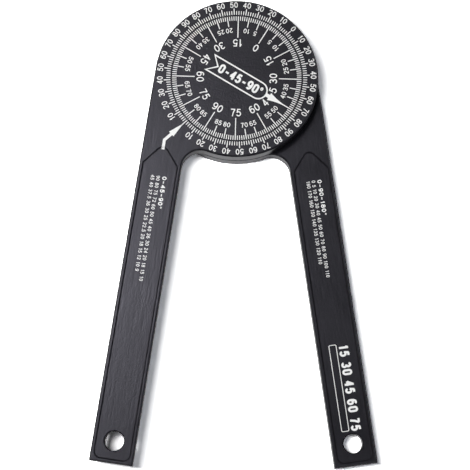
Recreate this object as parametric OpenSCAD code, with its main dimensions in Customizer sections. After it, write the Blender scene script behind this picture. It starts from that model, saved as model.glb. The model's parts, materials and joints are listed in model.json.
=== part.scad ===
// Miter saw protractor: two flat arms that turn on one hub, with a graduated ring and dial.
// Millimetres. Z is up, the pivot is the Z axis, the lower arm's underside is z = 0,
// and the arms point towards -Y, spread evenly about it.

/* [Arms] */
// Diameter of both round heads
head_d = 78.3; // [72:0.1:90]
// Width of each blade
arm_w = 19.8; // [16:0.1:24]
// Distance from the pivot to the end of each blade
arm_reach = 188.6; // [120:0.1:320]
// Thickness of each arm's plate
plate_t = 6.8; // [5.5:0.1:8]
// Angle between the two blades as they lie
arms_angle = 16.4; // [10:0.1:60]
// Radius of the hollow corner where a blade's inner edge meets its head
neck_r = 9; // [5:0.5:12]
// Width of the bevel all round the upper edge of each arm
arm_bevel = 0.7; // [0.1:0.05:1]

/* [Blade pocket] */
// Depth of the shallow pocket in each blade
pocket_depth = 0.6; // [0.3:0.05:1.2]
// Width of the sloped wall all round the pocket
pocket_wall_w = 0.65; // [0.2:0.05:1.2]
// Width of the rim between the blade's sides and the pocket's mouth
rim_w = 1.35; // [1.1:0.05:3]
// Width of the rim across the end of the blade
end_rim_w = 1.35; // [1.1:0.05:4]
// Radius of the two corners of the mouth at the blade's end
pocket_corner_r = 3.4; // [1.5:0.1:5]
// Height of the mouth's sharp top above the line that touches the head's lowest point
pocket_rise = 2.05; // [-8:0.05:6]
// Slope of the two sides of the pointed top
pocket_slope = 51.5; // [30:0.5:60]
// Radius that rounds the pointed top
pocket_tip_r = 3.2; // [1.5:0.1:5]

/* [Hanging hole] */
// Diameter of the hole near the end of each blade
hang_d = 8.7; // [5:0.1:12]
// Distance from the hole's centre to the end of the blade
hang_from_end = 10.1; // [8.5:0.1:20]
// Width of the bevel round both mouths of the hole
hang_bevel = 0.5; // [0.1:0.05:0.6]

/* [Dial] */
// Width of the ring round the dial, which carries the outer scale
ring_w = 7.7; // [7:0.05:10]
// Radial gap seen between the dial and the ring
seam = 0.25; // [0.1:0.05:0.5]
// Thickness of the dial's rim, which lies over the ring's ledge
dial_rim_t = 2.5; // [2:0.1:3.2]
// Width of the dial's rim, outside the boss on which the upper arm turns
dial_rim_w = 5.2; // [4:0.1:8]
// Radial running clearance between the boss and the ring
run_gap = 0.05; // [0.02:0.01:0.09]

/* [Washers] */
// Thickness of each slip washer
washer_t = 0.5; // [0.3:0.05:1]
// Gap between the two plates
plate_gap = 0.2; // [0.1:0.05:0.5]
// Gap above the lower washer and below the upper one
slip_gap = 0.05; // [0.02:0.01:0.1]
// Plain land between the boss and the lower washer
washer_land = 2; // [1:0.1:3]
// Width of the lower washer
lower_washer_w = 6; // [3:0.1:7]
// Radial room round each washer
washer_room = 0.2; // [0.1:0.05:0.5]

/* [Fasteners] */
// Nominal diameter of a screw
screw_d = 3; // [2.5:0.1:4]
// Length of a screw with its head
screw_l = 10; // [8.5:0.1:10.5]
// Diameter of a screw's flat head
screw_head_d = 5.8; // [5:0.1:7]
// Distance from the boss's edge to the circle that the screws and pins stand on
fixing_inset = 9; // [6:0.5:12]
// Clearance round a screw in the lower arm
screw_room = 0.2; // [0.1:0.05:0.4]
// Diameter of a locating pin
pin_d = 3; // [2:0.1:4]
// Length of a locating pin
pin_l = 6; // [4:0.1:6]
// Radial fit of screw threads and pins in their holes
press_gap = 0.02; // [0.01:0.01:0.05]

/* [Scales] */
// Depth of every engraved mark
mark_depth = 0.15; // [0.05:0.01:0.25]
// Angle between neighbouring graduations
tick_step = 2; // [1:1:5]
// Width of a fine graduation
fine_w = 0.4; // [0.2:0.01:0.5]
// Width of every fifth graduation
main_w = 0.46; // [0.2:0.01:0.8]
// Plain band between the graduations and the edge they read against
tick_margin = 0.27; // [0.1:0.01:0.4]
// Length of the ring's fine graduations
ring_tick_l = 1.95; // [1:0.05:3]
// Length of every fifth graduation of the ring
ring_main_l = 3.2; // [1.5:0.05:4]
// Length of the dial's fine graduations
dial_tick_l = 2.15; // [1:0.05:3]
// Length of every fifth graduation of the dial
dial_main_l = 5.15; // [3:0.05:7]
// Length of every fifteenth graduation of the dial
dial_long_l = 10.8; // [8:0.1:12]
// Angle from a blade's direction to the line that it reads against
index_angle = 39.3; // [36:0.1:42]

/* [Pointers] */
// Width of the ring pointer's shaft
pointer_w = 1.4; // [0.8:0.1:2]
// Half the width of the ring pointer's head
pointer_head_w = 1.55; // [1.2:0.05:2.5]
// Distance from the head's edge out to the base of the ring pointer's head
pointer_out = 2.75; // [2:0.05:5]
// Length of the thin line between the ring pointer's head and the zero graduation
pointer_gap = 0.3; // [0.1:0.05:1.5]
// Half the width of the dial arrow's band
arrow_half_w = 4.6; // [3:0.1:5.5]
// Width of the dial arrow's outline
arrow_line = 0.7; // [0.4:0.05:1]
// Distance from the pivot to the arrow's two tail points
arrow_tail = 15.5; // [10:0.1:17]
// Depth of the notch between the tail points
arrow_notch = 4.5; // [2:0.1:6]
// Distance from the pivot to the centre of the band's round end
arrow_cap = 12; // [9:0.1:13]
// Half the width of the neck between the band and the solid head
arrow_neck_w = 0.9; // [0.5:0.05:1.5]
// Length of the neck beyond the band
arrow_neck_l = 1.4; // [0.5:0.1:3]
// Half the width of the solid arrow head
arrow_head_w = 2; // [1.2:0.1:3]
// Gap between the solid head's tip and the dial's fine graduations
arrow_gap = 1.3; // [0.5:0.1:4]

/* [Hidden] */
$fn = 96;
eps = 0.01;

black = [0.16, 0.16, 0.17];
head_r = head_d / 2;
inner_x = head_r - arm_w;
blade_x = head_r - arm_w / 2;
upper_z = plate_t + plate_gap;
top_z = upper_z + plate_t;
pocket_z = plate_t - pocket_depth;

// Centre of the hollow corner. Its circle bites a hair into the straight edge and the head.
neck_bite = 0.02;
neck_x = inner_x - neck_r + neck_bite;
neck_y = -sqrt(pow(head_r + neck_r - neck_bite, 2) - pow(neck_x, 2));
neck_turn = 360 + atan2(neck_y, neck_x);
// Angle below the head's widest point at which the blade leaves it
blade_turn = 2.5;

mouth_half_w = arm_w / 2 - rim_w;
pocket_top = head_r - pocket_rise;
pocket_shoulder = pocket_top + mouth_half_w * tan(pocket_slope);
pocket_tip = pocket_top + pocket_tip_r * (1 / cos(pocket_slope) - 1);

bore_r = head_r - ring_w;
dial_r = bore_r - seam;
boss_r = dial_r - dial_rim_w;
rim_z = top_z - dial_rim_t;
ledge_z = rim_z - washer_t - slip_gap;
lower_washer_z = upper_z - slip_gap - washer_t;
lower_washer_r = boss_r + washer_land + washer_room;
upper_washer_r = boss_r + washer_room;
upper_washer_w = dial_r - washer_room - upper_washer_r;

screw_count = 4;
fixing_r = boss_r - fixing_inset;
screw_sink = 0.1;
screw_head_h = (screw_head_d - screw_d) / 2;
hex_af = screw_d * 0.67;
hex_depth = screw_head_h * 0.75;
tip_room = 0.3;
pin_z = plate_t - pin_l / 2;

ring_tick_r = bore_r + tick_margin;
dial_tick_r = dial_r - tick_margin;
tick_count = round(360 / tick_step);
main_every = 5;
long_every = 15;
pointer_base = head_r + pointer_out;
arrow_tip = dial_tick_r - dial_tick_l - arrow_gap;

function unit(v) = v / norm(v);

// An arc that rounds the corner b between the lines to a and c
function corner(a, b, c, r) =
    let (p = unit(a - b), q = unit(c - b),
         half = acos(p * q) / 2,
         centre = b + unit(p + q) * r / sin(half),
         start = b + p * r / tan(half) - centre,
         turn = (180 - 2 * half) * sign(p[1] * q[0] - p[0] * q[1]),
         steps = 8)
    [for (i = [0:steps])
        let (t = turn * i / steps)
        centre + [start[0] * cos(t) - start[1] * sin(t), start[0] * sin(t) + start[1] * cos(t)]];

// A polygon's points with each corner rounded to its own radius
function rounded(points, radii) =
    let (n = len(points))
    [for (i = [0:n - 1])
        each corner(points[(i + n - 1) % n], points[i], points[(i + 1) % n], radii[i])];

// Both arms are drawn with the blade along -Y and its outer edge at +X.
// The lower arm is turned to +X, and the upper arm is its mirror image.
module lower_place() {
    rotate([0, 0, arms_angle / 2]) children();
}

module upper_place() {
    rotate([0, 0, -arms_angle / 2]) mirror([1, 0, 0]) translate([0, 0, upper_z]) children();
}

// Blade, drawn as far as the middle of the head and the hollow corner's circle. It leaves the head
// a little below its widest point, where the straight edge lies a hair outside the circle.
module blade_outline() {
    polygon([[head_r, -arm_reach], [head_r, -head_r * sin(blade_turn)], [head_r * 0.8, 0], [0, 0],
             [neck_x, neck_y] * (head_r + 1) / (head_r + neck_r),
             [inner_x, neck_y], [inner_x, -arm_reach]]);
}

// Points of the pocket's outline, drawn inwards by an inset from the mouth
function pocket_outline(inset) =
    let (half = mouth_half_w - inset,
         left = blade_x - half,
         right = blade_x + half,
         top = pocket_top + inset / cos(pocket_slope),
         shoulder = top + half * tan(pocket_slope),
         low = -arm_reach + end_rim_w + inset,
         corner_r = pocket_corner_r - inset,
         shoulder_r = pocket_wall_w * 2 - inset)
    rounded([[blade_x, -top], [left, -shoulder], [left, low], [right, low], [right, -shoulder]],
            [pocket_tip_r - inset, shoulder_r, corner_r, corner_r, shoulder_r]);

// Solid between two outlines with as many points, which run anticlockwise seen from above
module tapered(low, high, low_z, high_z) {
    n = len(low);
    polyhedron(
        points = [for (p = low) [p[0], p[1], low_z], for (p = high) [p[0], p[1], high_z]],
        faces = [[for (i = [0:n - 1]) i], [for (i = [n - 1:-1:0]) n + i],
                 for (i = [0:n - 1]) [i, n + i, n + (i + 1) % n, (i + 1) % n]]);
}

module pocket() {
    over = 1;
    slope = pocket_wall_w / pocket_depth;
    tapered(pocket_outline(pocket_wall_w), pocket_outline(-over * slope), pocket_z, plate_t + over);
}

// Corner of a 45 degree bevel on an edge at [0, 0], with the material on the left and below
function bevel_corner(width, over) =
    [[over, over], [-width - over, over], [over, -width - over]];

// Bevel cut along a straight upper edge from a to b, with the plate on the left
module straight_bevel(a, b) {
    run = b - a;
    translate([a[0], a[1], plate_t])
        rotate([0, 0, atan2(run[1], run[0])])
            rotate([90, 0, 90])
                linear_extrude(norm(run)) mirror([1, 0]) polygon(bevel_corner(arm_bevel, 1));
}

// Bevel cut round the free part of the head, from just below its widest point to the hollow corner
module head_bevel() {
    far = head_r * 2;
    stop = blade_turn * 0.7;
    difference() {
        translate([0, 0, plate_t]) rotate_extrude()
            translate([head_r, 0]) polygon(bevel_corner(arm_bevel, 1));
        translate([0, 0, -1]) linear_extrude(plate_t + 4)
            polygon([[0, 0], [cos(neck_turn), sin(neck_turn)] * far, [far, -far],
                     [cos(stop), -sin(stop)] * far]);
    }
}

// Hollow corner between the blade's inner edge and the head, with its bevel
module neck_cut() {
    over = 1;
    translate([neck_x, neck_y, 0])
        rotate_extrude()
            polygon([[0, -over], [neck_r, -over], [neck_r, plate_t - arm_bevel],
                     [neck_r + arm_bevel + over, plate_t + over], [0, plate_t + over]]);
}

module hang_hole() {
    r = hang_d / 2;
    flare = r + hang_bevel + 1;
    translate([blade_x, -arm_reach + hang_from_end, 0])
        rotate_extrude()
            polygon([[0, -1], [flare, -1], [r, hang_bevel], [r, pocket_z - hang_bevel],
                     [flare, pocket_z + 1], [0, pocket_z + 1]]);
}

// The blank that both arms are machined from
module arm_blank() {
    over = 1;
    difference() {
        union() {
            cylinder(r = head_r, h = plate_t);
            linear_extrude(plate_t) blade_outline();
        }
        neck_cut();
        head_bevel();
        straight_bevel([head_r, -arm_reach - over], [head_r, -head_r * sin(blade_turn * 0.5)]);
        straight_bevel([inner_x, neck_y], [inner_x, -arm_reach - over]);
        straight_bevel([inner_x - over, -arm_reach], [head_r + over, -arm_reach]);
        pocket();
        hang_hole();
    }
}

// One engraved graduation along a radius
module tick(angle, r, length, width) {
    rotate([0, 0, angle])
        translate([-width / 2, -r - length, -mark_depth])
            cube([width, length, mark_depth + 1]);
}

module ring_scale() {
    for (i = [0:tick_count - 1]) {
        main = i % main_every == 0;
        tick(index_angle + i * tick_step, ring_tick_r, main ? ring_main_l : ring_tick_l,
             main ? main_w : fine_w);
    }
}

module dial_scale() {
    for (i = [0:tick_count - 1]) {
        main = i % main_every == 0;
        length = i % long_every == 0 ? dial_long_l : main ? dial_main_l : dial_tick_l;
        tick(i * tick_step, dial_tick_r - length, length, main ? main_w : fine_w);
    }
}

// Bent pointer from the tip of the blade's pocket to the ring's zero line
module ring_pointer() {
    bend_r = blade_x / sin(index_angle);
    bend_y = bend_r * cos(index_angle);
    line_r = ring_tick_r + ring_main_l;
    tip_r = line_r + pointer_gap;
    shaft = pointer_w / 2;
    rotate([0, 0, index_angle]) {
        translate([-shaft, -bend_r]) square([pointer_w, bend_r - pointer_base + eps]);
        polygon([[-pointer_head_w, -pointer_base], [pointer_head_w, -pointer_base],
                 [main_w / 2, -tip_r], [main_w / 2, -line_r + eps],
                 [-main_w / 2, -line_r + eps], [-main_w / 2, -tip_r]]);
    }
    translate([blade_x, -bend_y]) {
        circle(r = shaft);
        translate([-shaft, bend_y - pocket_tip - pocket_wall_w / 2])
            square([pointer_w, pocket_tip + pocket_wall_w / 2 - bend_y]);
    }
}

// Band with a swallow tail behind and a round end in front, inset by a line's width
module arrow_band(inset) {
    half = arrow_half_w - inset;
    tail = arrow_tail - inset * 1.9;
    notch = arrow_tail - arrow_notch - inset * 1.4;
    translate([0, -arrow_cap]) circle(r = half);
    polygon([[-half, -arrow_cap], [half, -arrow_cap], [half, tail], [0, notch], [-half, tail]]);
}

// Outlined band and solid head that point along the dial's 45 degree line
module dial_arrow() {
    cap_r = arrow_cap + arrow_half_w;
    barb_r = cap_r + arrow_neck_l;
    steps = 6;
    side = [[arrow_neck_w, arrow_line / 2 - cap_r], [arrow_neck_w, -barb_r],
            for (i = [0:steps])
                let (t = i / steps)
                [main_w / 2 + (arrow_head_w - main_w / 2) * pow(1 - t, 2),
                 -barb_r - (arrow_tip - barb_r) * t]];
    difference() {
        arrow_band(0);
        arrow_band(arrow_line);
    }
    polygon([each side, for (i = [len(side) - 1:-1:0]) [-side[i][0], side[i][1]]]);
}

module lower_arm() {
    color(black) lower_place() difference() {
        arm_blank();
        translate([0, 0, lower_washer_z]) difference() {
            cylinder(r = lower_washer_r + lower_washer_w + washer_room, h = plate_t);
            translate([0, 0, -1]) cylinder(r = lower_washer_r - washer_room, h = plate_t + 2);
        }
        for (i = [0:screw_count - 1]) screw_place(i) {
            translate([0, 0, -1]) cylinder(d = screw_d + 2 * screw_room, h = plate_t + 2);
            translate([0, 0, -eps])
                cylinder(r1 = screw_head_d / 2 + screw_room + screw_sink + eps,
                         r2 = screw_d / 2 + screw_room, h = screw_head_h + screw_sink + eps);
        }
        for (i = [0:1]) pin_place(i) translate([0, 0, pin_z - tip_room])
            cylinder(r = pin_d / 2 + press_gap, h = plate_t);
    }
}

module upper_arm() {
    color(black) upper_place() difference() {
        arm_blank();
        translate([0, 0, ledge_z - upper_z]) cylinder(r = bore_r, h = plate_t);
        translate([0, 0, -1]) cylinder(r = boss_r + run_gap, h = plate_t + 2);
        translate([0, 0, plate_t]) ring_scale();
        translate([0, 0, plate_t - mark_depth]) linear_extrude(mark_depth + 1) ring_pointer();
    }
}

// Dial plate with its boss, which lands on the lower arm's head
module dial() {
    color([0.13, 0.13, 0.14]) lower_place() difference() {
        union() {
            translate([0, 0, rim_z]) cylinder(r = dial_r, h = dial_rim_t);
            translate([0, 0, plate_t]) cylinder(r = boss_r, h = rim_z - plate_t + eps);
        }
        rotate([0, 0, -index_angle]) translate([0, 0, top_z]) dial_scale();
        rotate([0, 0, 90 - index_angle]) translate([0, 0, top_z - mark_depth])
            linear_extrude(mark_depth + 1) dial_arrow();
        for (i = [0:screw_count - 1]) screw_place(i) translate([0, 0, plate_t - 1])
            cylinder(r = screw_d / 2 + press_gap, h = 1 + screw_sink + screw_l - plate_t + tip_room);
        for (i = [0:1]) pin_place(i) translate([0, 0, plate_t - 1])
            cylinder(r = pin_d / 2 + press_gap, h = 1 + pin_l / 2 + tip_room);
    }
}

module washer(inner_r, width) {
    difference() {
        cylinder(r = inner_r + width, h = washer_t);
        translate([0, 0, -1]) cylinder(r = inner_r, h = washer_t + 2);
    }
}

module lower_washer() {
    color("ivory") translate([0, 0, lower_washer_z])
        washer(lower_washer_r, lower_washer_w);
}

module upper_washer() {
    color("ivory") translate([0, 0, rim_z - washer_t])
        washer(upper_washer_r, upper_washer_w);
}

// Places of screw i and of pin i on the fixing circle
module screw_place(i) {
    rotate([0, 0, i * 360 / screw_count - index_angle]) translate([fixing_r, 0, 0]) children();
}

module pin_place(i) {
    rotate([0, 0, (i + 1 / screw_count) * 180 - index_angle])
        translate([fixing_r, 0, 0]) children();
}

// Flat-head screw with a hexagon socket, driven in from the underside
module dial_screw(i) {
    color("dimgray") lower_place() screw_place(i) translate([0, 0, screw_sink])
        difference() {
            union() {
                cylinder(r1 = screw_head_d / 2, r2 = screw_d / 2, h = screw_head_h);
                cylinder(d = screw_d, h = screw_l);
            }
            translate([0, 0, -1]) cylinder(d = hex_af / cos(30), h = hex_depth + 1, $fn = 6);
        }
}

module dowel_pin(i) {
    color("silver") lower_place() pin_place(i) translate([0, 0, pin_z])
        cylinder(d = pin_d, h = pin_l);
}

lower_arm();
upper_arm();
dial();
lower_washer();
upper_washer();
dial_screw(0);  // dial_screw_1
dial_screw(1);  // dial_screw_2
dial_screw(2);  // dial_screw_3
dial_screw(3);  // dial_screw_4
dowel_pin(0);  // dowel_pin_1
dowel_pin(1);  // dowel_pin_2
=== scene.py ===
"""Dresses the miter saw protractor: anodised arms and dial, filled graduations, numerals, light and camera."""

import json
import logging
import math
from dataclasses import dataclass, field
from enum import Enum

import bpy
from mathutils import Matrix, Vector
from mathutils.geometry import delaunay_2d_cdt

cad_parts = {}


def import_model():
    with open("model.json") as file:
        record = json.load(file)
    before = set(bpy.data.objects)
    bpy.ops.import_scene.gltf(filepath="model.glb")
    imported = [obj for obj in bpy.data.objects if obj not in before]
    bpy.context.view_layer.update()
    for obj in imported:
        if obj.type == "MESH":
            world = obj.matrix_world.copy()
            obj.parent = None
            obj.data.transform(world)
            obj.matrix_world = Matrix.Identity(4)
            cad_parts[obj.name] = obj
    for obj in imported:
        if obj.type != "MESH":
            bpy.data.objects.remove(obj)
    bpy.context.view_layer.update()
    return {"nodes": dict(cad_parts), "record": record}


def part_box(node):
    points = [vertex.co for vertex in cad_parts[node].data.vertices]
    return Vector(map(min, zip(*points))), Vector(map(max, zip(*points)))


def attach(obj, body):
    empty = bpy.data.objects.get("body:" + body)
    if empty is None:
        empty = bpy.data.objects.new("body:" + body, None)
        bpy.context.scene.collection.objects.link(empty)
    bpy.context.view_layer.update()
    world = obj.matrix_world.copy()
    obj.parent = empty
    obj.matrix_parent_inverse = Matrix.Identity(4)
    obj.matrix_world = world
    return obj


MM = 0.001
PHOTO_SIDE_PX = 470
log = logging.getLogger("protractor")

Point = tuple[float, float]
Polygon = list[Point]


class Body(Enum):
    """The two bodies that turn on each other."""

    LOWER = "lower"
    UPPER = "upper"


class Reading(Enum):
    """The way up of a row of glyphs on a ring."""

    TOPS_OUT = 1
    TOPS_IN = -1


def polar(angle: float, radius: float) -> Point:
    """Returns the point at an angle in degrees, clockwise from +Y, and a distance from the pivot."""
    turn = math.radians(angle)
    return (radius * math.sin(turn), radius * math.cos(turn))


def arc(centre: Point, radii: Point, start: float, end: float, step: float = 15) -> Polygon:
    """Lists points along a stretch of an ellipse.

    Args:
        centre: The ellipse's centre.
        radii: Its two half widths.
        start: The first angle in degrees, anticlockwise from +X.
        end: The last angle.
        step: The largest angle between two points.

    Returns:
        The points from start to end.
    """
    count = max(1, math.ceil(abs(end - start) / step))
    points = []
    for i in range(count + 1):
        turn = math.radians(start + (end - start) * i / count)
        points.append((centre[0] + radii[0] * math.cos(turn), centre[1] + radii[1] * math.sin(turn)))
    return points


@dataclass(frozen=True)
class FlatShape:
    """A flat shape cut into triangles, in millimetres."""

    points: list[Point]
    triangles: list[tuple[int, int, int]]

    @classmethod
    def union(cls, polygons: list[Polygon]) -> "FlatShape":
        """Joins overlapping polygons into one shape.

        Args:
            polygons: Outlines that may overlap.

        Returns:
            The shape that they cover, with no lines left inside it.
        """
        corners: list[Vector] = []
        faces: list[list[int]] = []
        for polygon in polygons:
            turns = sum(a[0] * b[1] - b[0] * a[1] for a, b in zip(polygon, polygon[1:] + polygon[:1]))
            faces.append(list(range(len(corners), len(corners) + len(polygon))))
            corners.extend(Vector(p) for p in (polygon if turns > 0 else reversed(polygon)))
        points, _, triangles, _, _, sources = delaunay_2d_cdt(corners, [], faces, 1, 1e-5)
        covered = [tuple(t) for t, source in zip(triangles, sources) if source]
        return cls([(p.x, p.y) for p in points], covered)

    def rim(self) -> list[tuple[int, int]]:
        """Returns the directed edges that only one triangle uses."""
        edges = set()
        for a, b, c in self.triangles:
            edges.update(((a, b), (b, c), (c, a)))
        return [(a, b) for a, b in edges if (b, a) not in edges]


def ribbon(path: Polygon, width: float, closed: bool = False) -> list[Polygon]:
    """Widens a path into a strip of quads with mitred joints.

    Args:
        path: The strip's centre line.
        width: The strip's width.
        closed: Whether the last point joins the first.

    Returns:
        One polygon for each stretch of the path.
    """
    count = len(path)
    left, right = [], []
    for i, (x, y) in enumerate(path):
        before = path[i - 1] if i > 0 or closed else None
        after = path[(i + 1) % count] if i < count - 1 or closed else None
        sides = [(Vector(b) - Vector(a)).normalized() for a, b in ((before, path[i]), (path[i], after)) if a and b]
        along = sum(sides, Vector((0, 0))).normalized()
        across = Vector((-along.y, along.x))
        reach = width / 2 / max(0.35, across.dot(Vector((-sides[0].y, sides[0].x))))
        left.append((x + across.x * reach, y + across.y * reach))
        right.append((x - across.x * reach, y - across.y * reach))
    last = count if closed else count - 1
    return [[right[i], right[(i + 1) % count], left[(i + 1) % count], left[i]] for i in range(last)]


@dataclass
class StrokeFont:
    """Plain numerals drawn as strokes of even width.

    A glyph's centre lines lie in a cell of one by one, which is fitted inside the glyph's own
    width and height.
    """

    height: float
    width: float
    weight: float
    spacing: float
    heavy_share: float = 0.3
    shapes: dict[str, FlatShape] = field(default_factory=dict)

    def strokes(self, char: str) -> list[tuple[Polygon, bool]]:
        """Returns a glyph's centre lines, each with whether it is closed."""
        bowl = arc((0.5, 0.31), (0.5, 0.31), 0, 345)
        hook = arc((0.56, 0.52), (0.56, 0.48), 52, 180) + [(0.0, 0.31)]
        zero = arc((0.5, 0.5), (0.5, 0.5), 0, 345)
        if self.weight > self.heavy_share * self.width:
            zero = arc((0.5, 0.75), (0.5, 0.25), 0, 180) + arc((0.5, 0.25), (0.5, 0.25), 180, 360)
        lines = {
            "0": [(zero, True)],
            "1": [([(0.12, 0.72), (0.3, 0.76), (0.62, 1.03)], False), ([(0.62, 1.09), (0.62, -0.09)], False)],
            "2": [(arc((0.49, 0.72), (0.47, 0.28), 172, -38) + [(0.03, 0.0)], False), ([(-0.06, 0.0), (1.06, 0.0)], False)],
            "3": [(arc((0.46, 0.755), (0.43, 0.245), 160, -90) + [(0.34, 0.51)], False),
                  ([(0.34, 0.51)] + arc((0.48, 0.255), (0.5, 0.255), 90, -165), False)],
            "4": [([(0.74, 1.0), (-0.02, 0.27)], False), ([(-0.1, 0.27), (1.1, 0.27)], False),
                  ([(0.74, 1.09), (0.74, -0.09)], False)],
            "5": [([(0.97, 1.0), (0.16, 1.0)], False), ([(0.22, 1.06), (0.08, 0.46)], False),
                  (arc((0.46, 0.32), (0.52, 0.32), 148, -158), False)],
            "6": [(bowl, True), (hook, False)],
            "7": [([(-0.04, 1.0), (1.04, 1.0)], False), ([(1.0, 1.0), (0.56, 0.5), (0.34, -0.09)], False)],
            "8": [(arc((0.5, 0.27), (0.5, 0.27), 0, 345), True), (arc((0.5, 0.76), (0.42, 0.24), 0, 345), True)],
            "9": [([(1 - x, 1 - y) for x, y in bowl], True), ([(1 - x, 1 - y) for x, y in hook], False)],
            "-": [([(0.05, 0.42), (0.95, 0.42)], False)],
            ".": [([(0.5, -0.09), (0.5, 0.09)], False)],
            "°": [(arc((0.45, 0.86), (0.4, 0.16), 0, 345), True)],
        }
        return lines[char]

    def advance(self, char: str) -> float:
        """Returns the distance from a glyph's left side to the next one's."""
        share = {"1": 0.8, ".": 0.45, " ": 0.5, "°": 0.75}.get(char, 1.0)
        return self.width * share + self.spacing

    def shape(self, char: str) -> FlatShape:
        """Returns a glyph's shape, centred on its own cell."""
        if char not in self.shapes:
            inner_w = self.advance(char) - self.spacing - self.weight
            inner_h = self.height - self.weight
            polygons = []
            for path, closed in self.strokes(char):
                fitted = [((x - 0.5) * inner_w, (y - 0.5) * inner_h) for x, y in path]
                polygons.extend(ribbon(fitted, self.weight * (0.5 if char == "°" else 1), closed))
            self.shapes[char] = FlatShape.union(polygons)
        return self.shapes[char]


class MarkMesh:
    """Gathers flat shapes into one mesh of thin closed prisms."""

    def __init__(self, name: str, low: float, high: float) -> None:
        """Starts an empty mesh.

        Args:
            name: The piece's name.
            low: The prisms' underside, in millimetres.
            high: Their upper side.
        """
        self.name = name
        self.low = low
        self.high = high
        self.vertices: list[tuple[float, float, float]] = []
        self.faces: list[tuple[int, ...]] = []

    def add(self, shape: FlatShape, at: Point = (0, 0), turn: float = 0) -> None:
        """Adds a shape.

        Args:
            shape: The flat shape.
            at: Where its origin goes.
            turn: How far it turns anticlockwise, in degrees.
        """
        c, s = math.cos(math.radians(turn)), math.sin(math.radians(turn))
        base = len(self.vertices)
        count = len(shape.points)
        for z in (self.low, self.high):
            for x, y in shape.points:
                self.vertices.append(((at[0] + x * c - y * s) * MM, (at[1] + x * s + y * c) * MM, z * MM))
        for t in shape.triangles:
            self.faces.append(tuple(base + i for i in reversed(t)))
            self.faces.append(tuple(base + count + i for i in t))
        for a, b in shape.rim():
            self.faces.append((base + a, base + b, base + count + b, base + count + a))

    def line_of_text(self, font: StrokeFont, text: str, at: Point, turn: float) -> None:
        """Adds glyphs in a straight row.

        Args:
            font: The numerals to use.
            text: The glyphs' characters.
            at: The middle of the row.
            turn: The row's direction, in degrees anticlockwise from +X.
        """
        length = sum(font.advance(c) for c in text) - font.spacing
        along = Vector((math.cos(math.radians(turn)), math.sin(math.radians(turn))))
        place = -length / 2
        for char in text:
            own = font.advance(char) - font.spacing
            if char != " ":
                centre = Vector(at) + along * (place + own / 2)
                self.add(font.shape(char), (centre.x, centre.y), turn)
            place += font.advance(char)

    def close_sheet(self, columns: int, rows: int) -> None:
        """Adds the faces of a thin closed sheet, whose underside's points come first.

        Args:
            columns: How many rows of points the sheet has across.
            rows: How many points each of them has.
        """
        layer = columns * rows
        for i in range(columns - 1):
            for j in range(rows - 1):
                a, b, c, d = i * rows + j, (i + 1) * rows + j, (i + 1) * rows + j + 1, i * rows + j + 1
                self.faces.append((a, b, c, d))
                self.faces.append((d + layer, c + layer, b + layer, a + layer))
        edge = [i * rows for i in range(columns)]
        edge += [(columns - 1) * rows + j for j in range(1, rows)]
        edge += [i * rows + rows - 1 for i in range(columns - 2, -1, -1)]
        edge += list(range(rows - 2, 0, -1))
        for a, b in zip(edge, edge[1:] + edge[:1]):
            self.faces.append((b, a, a + layer, b + layer))

    def build(self, material: bpy.types.Material, body: Body) -> bpy.types.Object:
        """Makes the mesh object and hangs it on its body.

        Args:
            material: The mesh's finish.
            body: The body that it moves with.

        Returns:
            The new object.
        """
        mesh = bpy.data.meshes.new(self.name)
        mesh.from_pydata(self.vertices, [], self.faces)
        mesh.materials.append(material)
        mesh.update()
        piece = bpy.data.objects.new(self.name, mesh)
        bpy.context.scene.collection.objects.link(piece)
        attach(piece, body.value)
        log.info("%s: %d faces on %s", self.name, len(self.faces), body.value)
        return piece


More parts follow.
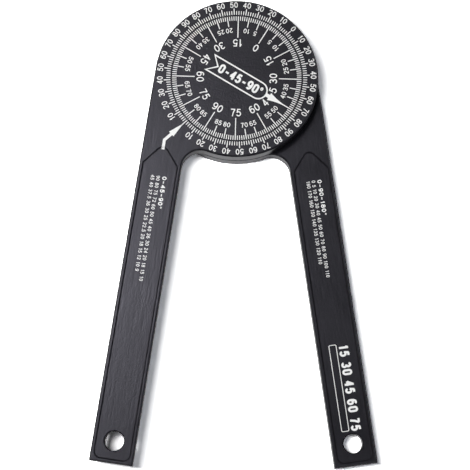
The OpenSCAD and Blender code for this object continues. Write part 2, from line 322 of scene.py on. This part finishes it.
class Shader:
    """A material's node tree with the few links that every finish here needs."""

    def __init__(self, name: str) -> None:
        """Starts a material that has one principled shader."""
        self.material = bpy.data.materials.new(name)
        self.material.use_nodes = True
        self.nodes = self.material.node_tree.nodes
        self.links = self.material.node_tree.links
        self.surface = self.nodes["Principled BSDF"]
        self.coordinates = self.nodes.new("ShaderNodeTexCoord").outputs["Object"]

    def noise(self, scale: Point | tuple[float, float, float], detail: float, turn: float = 0) -> bpy.types.NodeSocket:
        """Adds a noise pattern.

        Args:
            scale: Cycles per metre along the three axes.
            detail: How many finer layers it has.
            turn: How far the pattern turns about +Z, in degrees.

        Returns:
            The pattern's value.
        """
        rotate = self.nodes.new("ShaderNodeMapping")
        rotate.inputs["Rotation"].default_value = (0, 0, math.radians(turn))
        stretch = self.nodes.new("ShaderNodeMapping")
        stretch.inputs["Scale"].default_value = scale
        texture = self.nodes.new("ShaderNodeTexNoise")
        texture.inputs["Scale"].default_value = 1
        texture.inputs["Detail"].default_value = detail
        self.links.new(self.coordinates, rotate.inputs["Vector"])
        self.links.new(rotate.outputs["Vector"], stretch.inputs["Vector"])
        self.links.new(stretch.outputs["Vector"], texture.inputs["Vector"])
        return texture.outputs["Fac"]

    def spread(self, value: bpy.types.NodeSocket, low: float, high: float) -> bpy.types.NodeSocket:
        """Stretches a pattern's middle range to lie from low to high."""
        node = self.nodes.new("ShaderNodeMapRange")
        node.inputs["From Min"].default_value = 0.3
        node.inputs["From Max"].default_value = 0.7
        node.inputs["To Min"].default_value = low
        node.inputs["To Max"].default_value = high
        self.links.new(value, node.inputs["Value"])
        return node.outputs["Result"]

    def mean(self, a: bpy.types.NodeSocket, b: bpy.types.NodeSocket) -> bpy.types.NodeSocket:
        """Averages two patterns."""
        node = self.nodes.new("ShaderNodeMix")
        node.inputs["Factor"].default_value = 0.5
        self.links.new(a, node.inputs["A"])
        self.links.new(b, node.inputs["B"])
        return node.outputs["Result"]

    def colour(self, value: bpy.types.NodeSocket, dark: tuple, light: tuple) -> None:
        """Colours the surface between two shades by a pattern."""
        node = self.nodes.new("ShaderNodeValToRGB")
        node.color_ramp.elements[0].position = 0.3
        node.color_ramp.elements[0].color = (*dark, 1)
        node.color_ramp.elements[1].position = 0.7
        node.color_ramp.elements[1].color = (*light, 1)
        self.links.new(value, node.inputs["Fac"])
        self.links.new(node.outputs["Color"], self.surface.inputs["Base Color"])

    def bump(self, value: bpy.types.NodeSocket, strength: float, depth_mm: float) -> None:
        """Roughens the surface by a pattern."""
        node = self.nodes.new("ShaderNodeBump")
        node.inputs["Strength"].default_value = strength
        node.inputs["Distance"].default_value = depth_mm * MM
        self.links.new(value, node.inputs["Height"])
        self.links.new(node.outputs["Normal"], self.surface.inputs["Normal"])


@dataclass(frozen=True)
class AnodisedFinish:
    """Black anodised aluminium: a dyed, finely blasted skin, on the arms with faint lines from rolling."""

    name: str
    shade: tuple[float, float, float]
    line_turn: float
    roughness: float = 0.35
    sheen_tint: tuple[float, float, float] = (0.88, 0.86, 1.0)
    grain_per_m: float = 1300
    line_per_m: float = 1100
    along_per_m: float = 110
    relief_mm: float = 0.075

    def build(self) -> bpy.types.Material:
        """Returns the material."""
        shader = Shader(self.name)
        grain = shader.noise((self.grain_per_m,) * 3, 2)
        lines = shader.noise((self.line_per_m, self.along_per_m, self.along_per_m), 2, self.line_turn)
        clouds = shader.noise((45, 45, 45), 3)
        pattern = shader.mean(grain, lines)
        dark = tuple(0.8 * c for c in self.shade)
        light = tuple(1.25 * c for c in self.shade)
        shader.colour(pattern, dark, light)
        worn = shader.spread(shader.mean(clouds, pattern), self.roughness - 0.07, self.roughness + 0.07)
        shader.links.new(worn, shader.surface.inputs["Roughness"])
        shader.bump(pattern, 1.0, self.relief_mm)
        shader.surface.inputs["IOR"].default_value = 1.43
        shader.surface.inputs["Specular Tint"].default_value = (*self.sheen_tint, 1)
        return shader.material


@dataclass(frozen=True)
class EnamelFinish:
    """White enamel rubbed into the engraving and printed for the numerals."""

    name: str = "white_enamel"
    shade: tuple[float, float, float] = (0.86, 0.86, 0.85)

    def build(self) -> bpy.types.Material:
        """Returns the material."""
        shader = Shader(self.name)
        grain = shader.noise((5000, 5000, 5000), 3)
        shader.colour(grain, tuple(0.9 * c for c in self.shade), self.shade)
        shader.links.new(shader.spread(grain, 0.42, 0.58), shader.surface.inputs["Roughness"])
        shader.bump(grain, 0.2, 0.01)
        return shader.material


@dataclass(frozen=True)
class NylonFinish:
    """Natural nylon of the slip washers."""

    name: str = "natural_nylon"
    shade: tuple[float, float, float] = (0.75, 0.73, 0.66)

    def build(self) -> bpy.types.Material:
        """Returns the material."""
        shader = Shader(self.name)
        clouds = shader.noise((300, 300, 300), 3)
        shader.colour(clouds, tuple(0.92 * c for c in self.shade), self.shade)
        shader.links.new(shader.spread(clouds, 0.35, 0.5), shader.surface.inputs["Roughness"])
        shader.bump(clouds, 0.1, 0.02)
        shader.surface.inputs["Subsurface Weight"].default_value = 0.15
        shader.surface.inputs["Subsurface Radius"].default_value = (0.001, 0.001, 0.001)
        return shader.material


@dataclass(frozen=True)
class SteelFinish:
    """Steel with fine turned lines, bright or blackened."""

    name: str
    shade: tuple[float, float, float]
    roughness: float

    def build(self) -> bpy.types.Material:
        """Returns the material."""
        shader = Shader(self.name)
        lines = shader.noise((900, 900, 6000), 2)
        shader.colour(lines, tuple(0.8 * c for c in self.shade), self.shade)
        rough = shader.spread(lines, self.roughness - 0.05, self.roughness + 0.05)
        shader.links.new(rough, shader.surface.inputs["Roughness"])
        shader.bump(lines, 0.15, 0.005)
        shader.surface.inputs["Metallic"].default_value = 1
        return shader.material


@dataclass
class Blades:
    """Places on the two blades, measured along a blade and outwards across it from the pivot."""

    half_angle: float
    upper_z: float
    lower_z: float

    def place(self, body: Body, out: float, along: float) -> Point:
        """Returns the point on a blade.

        Args:
            body: The body whose blade it is.
            out: Millimetres outwards from the pivot's line.
            along: Millimetres from the pivot towards the blade's end.

        Returns:
            The point in the shared frame.
        """
        side = 1 if body is Body.LOWER else -1
        c, s = math.cos(math.radians(self.half_angle)), math.sin(math.radians(self.half_angle))
        return (side * (out * c + along * s), out * s - along * c)

    def heading(self, body: Body) -> float:
        """Returns the direction from the pivot to the blade's end, in degrees anticlockwise from +X."""
        return -90 + (self.half_angle if body is Body.LOWER else -self.half_angle)

    def surface(self, body: Body) -> float:
        """Returns the height of the blade's rim, in millimetres."""
        return self.lower_z if body is Body.LOWER else self.upper_z


@dataclass(frozen=True)
class Engraving:
    """Sizes that the filled marks of both scales share."""

    depth: float = 0.15
    fill_gap: float = 0.01
    fine_w: float = 0.4
    main_w: float = 0.46
    margin: float = 0.27
    seam: float = 0.25
    index_angle: float = 39.3


@dataclass
class Graduations:
    """A ring of engraved lines filled with enamel."""

    name: str
    zero: float
    start_r: float
    outwards: bool
    fine_length: float
    main_length: float
    long_length: float
    cut: Engraving
    step: float = 2
    main_every: int = 5
    long_every: int = 15

    def length(self, index: int) -> float:
        """Returns the length of a line."""
        if index % self.long_every == 0:
            return self.long_length
        return self.main_length if index % self.main_every == 0 else self.fine_length

    def build(self, top: float, material: bpy.types.Material, body: Body) -> bpy.types.Object:
        """Makes the enamel in every line.

        Args:
            top: The height of the face that the lines are cut in.
            material: The enamel.
            body: The body that the ring belongs to.

        Returns:
            The new piece.
        """
        gap = self.cut.fill_gap
        marks = MarkMesh(self.name, top - self.cut.depth, top - gap)
        for index in range(round(360 / self.step)):
            width = self.cut.main_w if index % self.main_every == 0 else self.cut.fine_w
            half = width / 2 - gap
            end = self.start_r + self.length(index) * (1 if self.outwards else -1)
            near = min(self.start_r, end) + gap
            far = max(self.start_r, end) - gap
            outline = [(-half, near), (half, near), (half, far), (-half, far)]
            marks.add(FlatShape(outline, [(0, 1, 2), (0, 2, 3)]), turn=-(self.zero + index * self.step))
        return marks.build(material, body)


@dataclass
class RingNumerals:
    """Numerals round a ring, counted both ways from zero to ninety."""

    zero: float
    step: float
    value_step: int
    reading: Reading

    def value(self, index: int) -> int:
        """Returns the number at a place, which counts up to ninety and back down."""
        span = 90 // self.value_step
        folded = index % (2 * span)
        return self.value_step * min(folded, 2 * span - folded)

    def add_to(self, marks: MarkMesh, font: StrokeFont, radius: float, indices: list[int]) -> None:
        """Adds the numerals.

        Args:
            marks: The mesh that takes them.
            font: The numerals to use.
            radius: The distance from the pivot to their middle.
            indices: The places that have one.
        """
        for index in indices:
            angle = self.zero + index * self.step
            turn = -angle if self.reading is Reading.TOPS_OUT else 180 - angle
            marks.line_of_text(font, str(self.value(index)), polar(angle, radius), turn)


@dataclass
class OuterScale:
    """The ring's scale, which belongs to the upper arm."""

    top: float
    bore_r: float
    blades: Blades
    cut: Engraving
    numeral_r: float = 36.75
    print_height: float = 0.02

    def build(self, enamel: bpy.types.Material) -> None:
        """Makes the graduations and the numerals."""
        zero = self.blades.half_angle + self.cut.index_angle
        start = self.bore_r + self.cut.margin
        Graduations("ring_graduations", zero, start, True, 1.95, 3.2, 3.2, self.cut).build(
            self.top, enamel, Body.UPPER)
        marks = MarkMesh("ring_numerals", self.top - self.print_height, self.top + self.print_height)
        font = StrokeFont(height=2.8, width=1.75, weight=0.4, spacing=0.3)
        numerals = RingNumerals(zero, 10, 10, Reading.TOPS_OUT)
        pointer_index = 18
        numerals.add_to(marks, font, self.numeral_r, [i for i in range(36) if i != pointer_index])
        marks.build(enamel, Body.UPPER)


@dataclass
class InnerScale:
    """The dial's scale, which belongs to the lower arm."""

    top: float
    dial_r: float
    blades: Blades
    cut: Engraving
    large_r: float = 17.45
    small_r: float = 23.85
    print_height: float = 0.02
    arrow_index: int = 9
    split: float = 11.4
    split_r: float = 18.4

    def build(self, enamel: bpy.types.Material) -> None:
        """Makes the graduations and the numerals."""
        zero = self.cut.index_angle - self.blades.half_angle
        start = self.dial_r - self.cut.margin
        Graduations("dial_graduations", zero, start, False, 2.15, 5.15, 10.8, self.cut).build(
            self.top, enamel, Body.LOWER)
        marks = MarkMesh("dial_numerals", self.top - self.print_height, self.top + self.print_height)
        large = StrokeFont(height=3.7, width=2.3, weight=0.5, spacing=0.42)
        small = StrokeFont(height=2.35, width=1.5, weight=0.34, spacing=0.28)
        numerals = RingNumerals(zero, 10, 5, Reading.TOPS_IN)
        numerals.add_to(marks, large, self.large_r, [i for i in range(0, 36, 3) if i != self.arrow_index])
        numerals.add_to(marks, small, self.small_r, [i for i in range(36) if i % 3])
        for digit, aside in (("4", self.split), ("5", -self.split)):
            angle = zero + self.arrow_index * numerals.step + aside
            marks.line_of_text(large, digit, polar(angle, self.split_r), 180 - angle)
        marks.build(enamel, Body.LOWER)


@dataclass
class RingPointer:
    """The bent pointer that is engraved on the upper blade, filled, and painted on into the pocket."""

    top: float
    blades: Blades
    cut: Engraving
    centre_line: float = 29.25
    shaft_w: float = 1.4
    head_half_w: float = 1.55
    base_r: float = 41.9
    tip_r: float = 35.22
    line_r: float = 34.92
    pocket_depth: float = 0.6
    mouth: float = 39.04
    mouth_r: float = 3.2
    wall_foot: float = 39.69
    wall_foot_r: float = 2.55
    tail_end: float = 40.3
    paint: float = 0.015

    def build(self, enamel: bpy.types.Material) -> None:
        """Makes the fill of the head, the shaft and the tail."""
        half = self.shaft_w / 2 - self.cut.fill_gap
        line = self.cut.main_w / 2 - self.cut.fill_gap
        turn = math.radians(self.cut.index_angle)
        bend_r = self.centre_line / math.sin(turn)
        bend_along = bend_r * math.cos(turn)
        shaft = [(-half, bend_r), (half, bend_r), (half, self.base_r), (-half, self.base_r)]
        head = [(-self.head_half_w, self.base_r), (self.head_half_w, self.base_r), (line, self.tip_r),
                (line, self.line_r), (-line, self.line_r), (-line, self.tip_r)]
        elbow = arc((self.centre_line, bend_along), (half, half), 0, 345)
        tail = [(self.centre_line - half, bend_along), (self.centre_line + half, bend_along),
                (self.centre_line + half, self.mouth), (self.centre_line - half, self.mouth)]
        polygons = [self.turned(shaft), self.turned(head), elbow, tail]
        placed = [[self.blades.place(Body.UPPER, out, along) for out, along in p] for p in polygons]
        marks = MarkMesh("ring_pointer", self.top - self.cut.depth, self.top - self.cut.fill_gap / 2)
        marks.add(FlatShape.union(placed))
        marks.build(enamel, Body.UPPER)
        self.build_tail(half, enamel)

    def build_tail(self, half: float, enamel: bpy.types.Material) -> None:
        """Makes the coat of paint that runs down the pocket's wall and onto its floor.

        Args:
            half: Half the tail's width.
            enamel: The paint.
        """
        columns = 6
        marks = MarkMesh("ring_pointer_tail", 0, 0)
        for lift in (-2 * self.paint, self.paint):
            for i in range(columns + 1):
                aside = half * (2 * i / columns - 1)
                mouth = self.mouth + self.mouth_r - math.sqrt(self.mouth_r ** 2 - aside ** 2)
                foot = self.wall_foot + self.wall_foot_r - math.sqrt(self.wall_foot_r ** 2 - aside ** 2)
                for along, drop in ((mouth, 0.0), (foot, self.pocket_depth), (self.tail_end, self.pocket_depth)):
                    x, y = self.blades.place(Body.UPPER, self.centre_line + aside, along)
                    marks.vertices.append((x * MM, y * MM, (self.top - drop + lift) * MM))
        marks.close_sheet(columns + 1, 3)
        marks.build(enamel, Body.UPPER)

    def turned(self, polygon: Polygon) -> Polygon:
        """Turns an outline from the blade's direction to the index line, as out and along."""
        turn = math.radians(self.cut.index_angle)
        c, s = math.cos(turn), math.sin(turn)
        return [(x * c + r * s, r * c - x * s) for x, r in polygon]


@dataclass
class DialArrow:
    """The outlined band with its solid head, engraved on the dial and filled."""

    top: float
    heading: float
    cut: Engraving
    half_w: float = 4.6
    line_w: float = 0.7
    tail_r: float = 15.5
    notch: float = 4.5
    cap_r: float = 12
    neck_w: float = 0.9
    neck_length: float = 1.4
    head_w: float = 2
    tip_r: float = 27.48
    numerals_at: float = 2.3
    print_height: float = 0.02

    def band(self, inset: float) -> Polygon:
        """Returns the band's outline, drawn inwards by an inset."""
        half = self.half_w - inset
        tail = self.tail_r - inset * 1.9
        fork = self.tail_r - self.notch - inset * 1.4
        return arc((0, -self.cap_r), (half, half), 180, 360) + [(half, tail), (0, fork), (-half, tail)]

    def head(self) -> Polygon:
        """Returns the neck and the hollow-sided head."""
        neck_r = self.cap_r + self.half_w
        barb_r = neck_r + self.neck_length
        tip = self.cut.main_w / 2
        side = [(self.neck_w, self.line_w / 2 - neck_r), (self.neck_w, -barb_r)]
        for i in range(7):
            t = i / 6
            side.append((tip + (self.head_w - tip) * (1 - t) ** 2, -barb_r - (self.tip_r - barb_r) * t))
        return side + [(-x, y) for x, y in reversed(side)]

    def build(self, enamel: bpy.types.Material) -> None:
        """Makes the fill and the plain numbers inside the band."""
        gap = self.cut.fill_gap
        outer, inner = self.band(gap), self.band(self.line_w - gap)
        count = len(outer)
        polygons = [[outer[i], outer[(i + 1) % count], inner[(i + 1) % count], inner[i]] for i in range(count)]
        polygons.append(self.head())
        marks = MarkMesh("dial_arrow", self.top - self.cut.depth, self.top - gap / 2)
        marks.add(FlatShape.union(polygons), turn=self.heading + 90)
        marks.build(enamel, Body.LOWER)
        numbers = MarkMesh("dial_arrow_numerals", self.top - self.print_height, self.top + self.print_height)
        font = StrokeFont(height=4.8, width=2.8, weight=1.0, spacing=0.33)
        turn = math.radians(self.heading)
        at = (self.numerals_at * math.cos(turn), self.numerals_at * math.sin(turn))
        numbers.line_of_text(font, "0-45-90°", at, self.heading)
        numbers.build(enamel, Body.LOWER)


@dataclass
class BladeMarks:
    """Plain numbers printed in the blades' pockets, and the long frame near the lower blade's end."""

    blades: Blades
    pocket_depth: float = 0.6
    print_height: float = 0.02
    first_along: float = 53.3
    small: StrokeFont = field(default_factory=lambda: StrokeFont(1.7, 1.08, 0.25, 0.27))
    bold: StrokeFont = field(default_factory=lambda: StrokeFont(2.1, 1.72, 0.45, 0.35))
    heavy: StrokeFont = field(default_factory=lambda: StrokeFont(4.6, 2.75, 1.0, 0.58))

    def start(self, name: str, body: Body) -> MarkMesh:
        """Returns an empty mesh that lies on a pocket's floor."""
        floor = self.blades.surface(body) - self.pocket_depth
        return MarkMesh(name, floor - self.print_height, floor + self.print_height)

    def row(self, marks: MarkMesh, body: Body, font: StrokeFont, text: str, out: float, along: float) -> None:
        """Adds a row of numbers that starts at a distance along the blade."""
        length = sum(font.advance(c) for c in text) - font.spacing
        at = self.blades.place(body, out, along + length / 2)
        marks.line_of_text(font, text, at, self.blades.heading(body))

    def build(self, enamel: bpy.types.Material) -> None:
        """Makes the rows on both blades and the frame."""
        upper = self.start("upper_blade_numerals", Body.UPPER)
        self.row(upper, Body.UPPER, self.bold, "0-45-90°", 26.3, self.first_along)
        self.row(upper, Body.UPPER, self.small, "90 80 75 72 60 50 45 40 36 30 24 20 18 15 10", 29.3, self.first_along)
        self.row(upper, Body.UPPER, self.small, "45 40 37.5 36 30 25 22.5 20 18 15 12 10 9", 31.9, self.first_along)
        upper.build(enamel, Body.UPPER)
        lower = self.start("lower_blade_numerals", Body.LOWER)
        self.row(lower, Body.LOWER, self.bold, "0-90-180°", 32.4, self.first_along)
        self.row(lower, Body.LOWER, self.small, "0 5 10 20 30 40 45 50 60 70 80 90 100 110", 29.5, self.first_along)
        self.row(lower, Body.LOWER, self.small, "180 170 160 150 140 135 130 120 110", 26.95, self.first_along)
        self.row(lower, Body.LOWER, self.heavy, "15 30 45 60 75", 31.6, 133)
        lower.build(enamel, Body.LOWER)
        self.build_frame(enamel)

    def build_frame(self, enamel: bpy.types.Material) -> None:
        """Makes the long rounded frame."""
        near, far, inside, outside, corner = 132.5, 172.6, 24.9, 28.25, 0.6
        path: Polygon = []
        for out, along, start in ((outside, far, 0), (inside, far, 90), (inside, near, 180), (outside, near, 270)):
            centre = (out - corner if out == outside else out + corner, along - corner if along == far else along + corner)
            path.extend(arc(centre, (corner, corner), start, start + 90, 30))
        placed = [self.blades.place(Body.LOWER, out, along) for out, along in path]
        marks = self.start("lower_blade_frame", Body.LOWER)
        marks.add(FlatShape.union(ribbon(placed, 0.32, closed=True)))
        marks.build(enamel, Body.LOWER)


@dataclass
class Dressing:
    """Finishes of the machined pieces."""

    nodes: dict[str, bpy.types.Object]
    half_angle: float

    def build(self) -> None:
        """Gives every piece its finish."""
        blade_shade = (0.007, 0.0068, 0.0084)
        dial_shade = (0.0066, 0.0064, 0.0078)
        finishes = {
            "lower_arm": AnodisedFinish("anodised_lower", blade_shade, -self.half_angle),
            "upper_arm": AnodisedFinish("anodised_upper", blade_shade, self.half_angle),
            "dial": AnodisedFinish("anodised_dial", dial_shade, 0, along_per_m=1100, relief_mm=0.16),
            "lower_washer": NylonFinish(),
            "upper_washer": NylonFinish(),
            "dowel_pin": SteelFinish("ground_steel", (0.6, 0.6, 0.62), 0.25),
            "dial_screw": SteelFinish("black_oxide", (0.06, 0.06, 0.065), 0.38),
        }
        built: dict[str, bpy.types.Material] = {}
        for name, node in self.nodes.items():
            finish = finishes[max((key for key in finishes if name.startswith(key)), key=len)]
            if finish.name not in built:
                built[finish.name] = finish.build()
            node.data.materials.clear()
            node.data.materials.append(built[finish.name])
            log.info("%s: %s", name, finish.name)


@dataclass
class PhotoCamera:
    """The camera as it stood over the tool."""

    place: tuple[float, float, float] = (-6.444, -214.782, 654.409)
    tilt: float = 12.116
    lean: float = -0.639
    turn: float = 0.35
    focal_px: float = 1405.0
    centre_offset_px: float = 0.5
    sensor_mm: float = 36.0

    def build(self) -> bpy.types.Object:
        """Returns the scene's camera."""
        data = bpy.data.cameras.new("photo_camera")
        data.sensor_width = self.sensor_mm
        data.lens = self.sensor_mm * self.focal_px / PHOTO_SIDE_PX
        data.shift_x = -self.centre_offset_px / PHOTO_SIDE_PX
        data.shift_y = self.centre_offset_px / PHOTO_SIDE_PX
        data.clip_start = 0.01
        camera = bpy.data.objects.new("photo_camera", data)
        camera.location = [c * MM for c in self.place]
        camera.rotation_euler = [math.radians(a) for a in (self.tilt, self.lean, self.turn)]
        bpy.context.scene.collection.objects.link(camera)
        bpy.context.scene.camera = camera
        return camera


@dataclass(frozen=True)
class Panel:
    """A rectangular soft light aimed at the tool."""

    name: str
    place: tuple[float, float, float]
    width: float
    length: float
    watts: float
    target: tuple[float, float, float] = (0.0, -0.07, 0.0)
    colour: tuple[float, float, float] = (1.0, 1.0, 1.0)
    lights_matt: bool = True
    lights_gloss: bool = True

    def build(self) -> bpy.types.Object:
        """Returns the light."""
        data = bpy.data.lights.new(self.name, "AREA")
        data.shape = "RECTANGLE"
        data.size = self.width
        data.size_y = self.length
        data.energy = self.watts
        data.color = self.colour
        light = bpy.data.objects.new(self.name, data)
        light.visible_diffuse = self.lights_matt
        light.visible_glossy = self.lights_gloss
        light.location = self.place
        light.rotation_euler = (Vector(self.target) - Vector(self.place)).to_track_quat("-Z", "Y").to_euler()
        bpy.context.scene.collection.objects.link(light)
        return light


@dataclass
class Floor:
    """A sheet of white paper that fades into a white surround away from the tool."""

    side: float = 6.0
    shade: float = 0.8
    seen_shade: float = 2.2
    mirrored_shade: float = 1.15
    fade_start: float = 0.45
    fade_end: float = 1.2
    clearance: float = 0.05

    def build(self) -> bpy.types.Object:
        """Makes the sheet and lays it a hair under the tool."""
        half = self.side / 2
        corners = [(x * half, y * half, -self.clearance * MM) for x, y in ((-1, -1), (1, -1), (1, 1), (-1, 1))]
        mesh = bpy.data.meshes.new("floor")
        mesh.from_pydata(corners, [], [(0, 1, 2, 3)])
        mesh.materials.append(self.paper())
        floor = bpy.data.objects.new("floor", mesh)
        bpy.context.scene.collection.objects.link(floor)
        return floor

    def paper(self) -> bpy.types.Material:
        """Returns the paper, which is clean white to the camera and lets a view from below through."""
        material = bpy.data.materials.new("floor_paper")
        material.use_nodes = True
        nodes, links = material.node_tree.nodes, material.node_tree.links
        nodes.clear()
        path = nodes.new("ShaderNodeLightPath")
        mirrored = nodes.new("ShaderNodeMapRange")
        mirrored.inputs["To Min"].default_value = self.shade
        mirrored.inputs["To Max"].default_value = self.mirrored_shade
        seen = nodes.new("ShaderNodeMapRange")
        seen.inputs["To Max"].default_value = self.seen_shade
        lit = nodes.new("ShaderNodeBsdfDiffuse")
        links.new(path.outputs["Is Glossy Ray"], mirrored.inputs["Value"])
        links.new(mirrored.outputs["Result"], seen.inputs["To Min"])
        links.new(path.outputs["Is Camera Ray"], seen.inputs["Value"])
        links.new(seen.outputs["Result"], lit.inputs["Color"])

        position = nodes.new("ShaderNodeTexCoord")
        distance = nodes.new("ShaderNodeVectorMath")
        distance.operation = "LENGTH"
        fade = nodes.new("ShaderNodeMapRange")
        fade.inputs["From Min"].default_value = self.fade_start
        fade.inputs["From Max"].default_value = self.fade_end
        white = nodes.new("ShaderNodeEmission")
        surround = nodes.new("ShaderNodeMixShader")
        links.new(position.outputs["Object"], distance.inputs[0])
        links.new(distance.outputs["Value"], fade.inputs["Value"])
        links.new(path.outputs["Is Camera Ray"], fade.inputs["To Max"])
        links.new(fade.outputs["Result"], surround.inputs["Fac"])
        links.new(lit.outputs["BSDF"], surround.inputs[1])
        links.new(white.outputs["Emission"], surround.inputs[2])

        geometry = nodes.new("ShaderNodeNewGeometry")
        below = nodes.new("ShaderNodeMath")
        below.operation = "MAXIMUM"
        clear = nodes.new("ShaderNodeBsdfTransparent")
        one_sided = nodes.new("ShaderNodeMixShader")
        output = nodes.new("ShaderNodeOutputMaterial")
        links.new(geometry.outputs["Backfacing"], below.inputs[0])
        links.new(path.outputs["Transparent Depth"], below.inputs[1])
        links.new(below.outputs["Value"], one_sided.inputs["Fac"])
        links.new(surround.outputs["Shader"], one_sided.inputs[1])
        links.new(clear.outputs["BSDF"], one_sided.inputs[2])
        links.new(one_sided.outputs["Shader"], output.inputs["Surface"])
        return material


@dataclass
class Studio:
    """The room and the soft lights."""

    horizon: float = 0.25
    zenith: float = 0.03
    ceiling_from: float = 0.35
    underside: float = 0.9
    panels: tuple[Panel, ...] = (
        Panel("key_overhead", (-0.5, -0.08, 1.0), 0.2, 0.75, 13.4, target=(0.0, -0.08, 0.0), lights_gloss=False),
        Panel("key_sheen", (-0.54, 0.16, 1.0), 0.2, 0.75, 14.8, target=(-0.04, 0.16, 0.0), lights_matt=False),
        Panel("fill_right", (0.75, -0.4, 0.85), 0.6, 0.6, 2.5, colour=(0.9, 0.93, 1.0)),
    )

    def build(self) -> None:
        """Makes the floor, the world and the lights."""
        Floor().build()
        self.build_world()
        for panel in self.panels:
            panel.build()
        bpy.context.scene.view_settings.view_transform = "Standard"

    def build_world(self) -> None:
        """Makes a room that is pale at the horizon, dim overhead, bright below the floor and white to the camera."""
        world = bpy.data.worlds.new("studio")
        world.use_nodes = True
        bpy.context.scene.world = world
        nodes, links = world.node_tree.nodes, world.node_tree.links
        position = nodes.new("ShaderNodeTexCoord")
        split = nodes.new("ShaderNodeSeparateXYZ")
        above = nodes.new("ShaderNodeMapRange")
        above.inputs["From Max"].default_value = self.ceiling_from
        above.inputs["To Min"].default_value = self.horizon
        above.inputs["To Max"].default_value = self.zenith
        below = nodes.new("ShaderNodeMapRange")
        below.inputs["From Min"].default_value = -0.02
        below.inputs["From Max"].default_value = 0
        below.inputs["To Min"].default_value = self.underside
        path = nodes.new("ShaderNodeLightPath")
        seen = nodes.new("ShaderNodeMapRange")
        links.new(position.outputs["Generated"], split.inputs["Vector"])
        links.new(split.outputs["Z"], above.inputs["Value"])
        links.new(split.outputs["Z"], below.inputs["Value"])
        links.new(above.outputs["Result"], below.inputs["To Max"])
        links.new(below.outputs["Result"], seen.inputs["To Min"])
        links.new(path.outputs["Is Camera Ray"], seen.inputs["Value"])
        links.new(seen.outputs["Result"], nodes["Background"].inputs["Color"])


def main() -> None:
    """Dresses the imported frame."""
    logging.basicConfig(level=logging.INFO, format="%(name)s: %(message)s")
    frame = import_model()
    mounts = {mount["name"]: mount for mount in frame["record"]["mounts"]}
    out_x, out_y, _ = mounts["lower_reference_edge"]["axis"]
    half_angle = math.degrees(math.atan2(out_y, out_x))
    dial_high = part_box("dial")[1]
    lower_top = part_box("lower_arm")[1].z / MM
    top = dial_high.z / MM
    blades = Blades(half_angle, top, lower_top)
    dial_r = dial_high.x / MM
    cut = Engraving()

    enamel = EnamelFinish().build()
    Dressing(frame["nodes"], half_angle).build()
    OuterScale(top, dial_r + cut.seam, blades, cut).build(enamel)
    InnerScale(top, dial_r, blades, cut).build(enamel)
    RingPointer(top, blades, cut).build(enamel)
    DialArrow(top, half_angle - cut.index_angle, cut).build(enamel)
    BladeMarks(blades).build(enamel)
    Studio().build()
    PhotoCamera().build()


if __name__ == "__main__":
    main()
